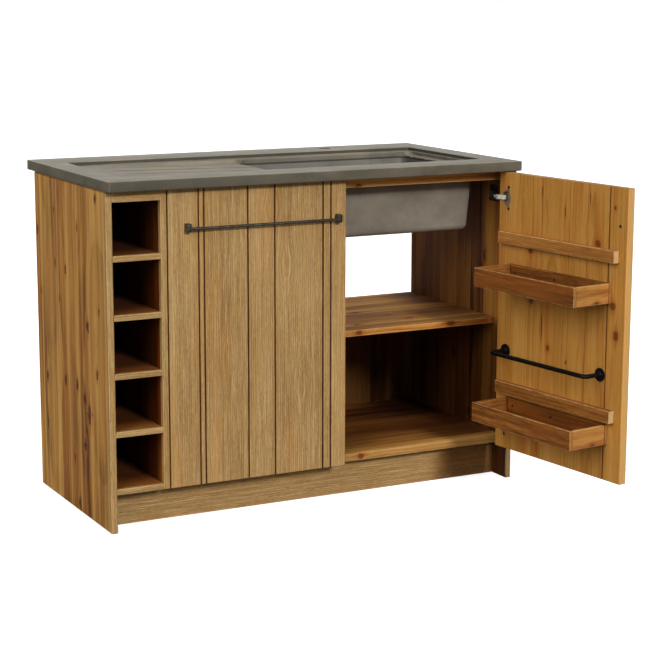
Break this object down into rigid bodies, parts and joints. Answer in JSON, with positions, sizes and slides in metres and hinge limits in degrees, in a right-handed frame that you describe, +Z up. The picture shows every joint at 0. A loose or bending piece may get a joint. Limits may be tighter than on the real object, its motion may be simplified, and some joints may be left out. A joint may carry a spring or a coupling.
{
  "type": "sink base cabinet",
  "caption": "Wooden sink base cabinet with a stone sink and drainer top, an open bottle rack, inset boarded doors on concealed hinges, and trays and a towel rail on a door.",
  "frame": {"origin": "on the floor, at the middle of the plinth's underside", "axes": "+X to the user's right along the front, +Y from the front to the back, +Z up"},
  "size_m": [1.2479, 1.1037, 0.9],
  "materials": {
    "stave_wood": "oiled stave-glued solid wood",
    "brushed_oak": "brushed and oiled",
    "orange_pine": "oiled",
    "grey_stone": "honed, mottled",
    "dark_steel": "forged, dark waxed",
    "nickel": "nickel plated",
    "black_paint": "satin black"
  },
  "bodies": {
    "carcass": {"left_side_panel": "stave_wood", "right_side_panel": "stave_wood", "rack_divider": "stave_wood", "rack_top_rail": "brushed_oak", "rack_shelf_1": "brushed_oak", "rack_shelf_2": "brushed_oak", "rack_shelf_3": "brushed_oak", "rack_shelf_4": "brushed_oak", "rack_bottom_shelf": "brushed_oak", "rack_back_panel": "stave_wood", "front_top_rail": "orange_pine", "rear_top_rail": "stave_wood", "mid_shelf": "stave_wood", "bottom_panel": "stave_wood", "lower_back_panel": "stave_wood", "plinth": "brushed_oak", "worktop": "grey_stone", "sink_bowl": "grey_stone", "left_hinge_upper_arm": "nickel", "left_hinge_lower_arm": "nickel", "right_hinge_upper_arm": "nickel", "right_hinge_lower_arm": "nickel"},
    "left_door": {"left_door_board_1": "brushed_oak", "left_door_board_2": "brushed_oak", "left_door_board_3": "brushed_oak", "left_door_board_4": "brushed_oak", "left_door_board_5": "brushed_oak", "left_door_upper_ledge": "orange_pine", "left_door_lower_ledge": "orange_pine", "left_door_handle": "dark_steel", "left_hinge_upper_cup": "nickel", "left_hinge_lower_cup": "nickel"},
    "right_door": {"right_door_board_1": "brushed_oak", "right_door_board_2": "brushed_oak", "right_door_board_3": "brushed_oak", "right_door_board_4": "brushed_oak", "right_door_board_5": "brushed_oak", "right_door_upper_ledge": "orange_pine", "right_door_lower_ledge": "orange_pine", "right_door_handle": "dark_steel", "right_hinge_upper_cup": "nickel", "right_hinge_lower_cup": "nickel", "right_upper_tray_back": "orange_pine", "right_upper_tray_front": "orange_pine", "right_upper_tray_hinge_end": "orange_pine", "right_upper_tray_free_end": "orange_pine", "right_upper_tray_base": "orange_pine", "right_lower_tray_back": "orange_pine", "right_lower_tray_front": "orange_pine", "right_lower_tray_hinge_end": "orange_pine", "right_lower_tray_free_end": "orange_pine", "right_lower_tray_base": "orange_pine", "towel_rail_rod": "black_paint", "towel_rail_hinge_flange": "black_paint", "towel_rail_free_flange": "black_paint"},
    "left_hinge_links": {"left_hinge_upper_link": "nickel", "left_hinge_lower_link": "nickel"},
    "right_hinge_links": {"right_hinge_upper_link": "nickel", "right_hinge_lower_link": "nickel"}
  },
  "joints": [
    {"name": "left_door_swing", "type": "hinge", "parent": "carcass", "child": "left_door", "pos_m": [-0.428, -0.0795, 0.486], "axis": [0, 0, -1], "range_deg": [0, 97]},
    {"name": "left_links_swing", "type": "hinge", "parent": "carcass", "child": "left_hinge_links", "pos_m": [-0.4, -0.0585, 0.486], "axis": [0, 0, -1], "range_deg": [0, 109]},
    {"name": "right_door_swing", "type": "hinge", "parent": "carcass", "child": "right_door", "pos_m": [0.572, -0.0795, 0.486], "axis": [0, 0, 1], "range_deg": [-97, 0]},
    {"name": "right_links_swing", "type": "hinge", "parent": "carcass", "child": "right_hinge_links", "pos_m": [0.544, -0.0585, 0.486], "axis": [0, 0, 1], "range_deg": [-109, 0]}
  ],
  "couplings": [
    {"joint": "left_links_swing", "follows": "left_door_swing", "ratio": 1.12},
    {"joint": "right_links_swing", "follows": "right_door_swing", "ratio": 1.12}
  ]
}
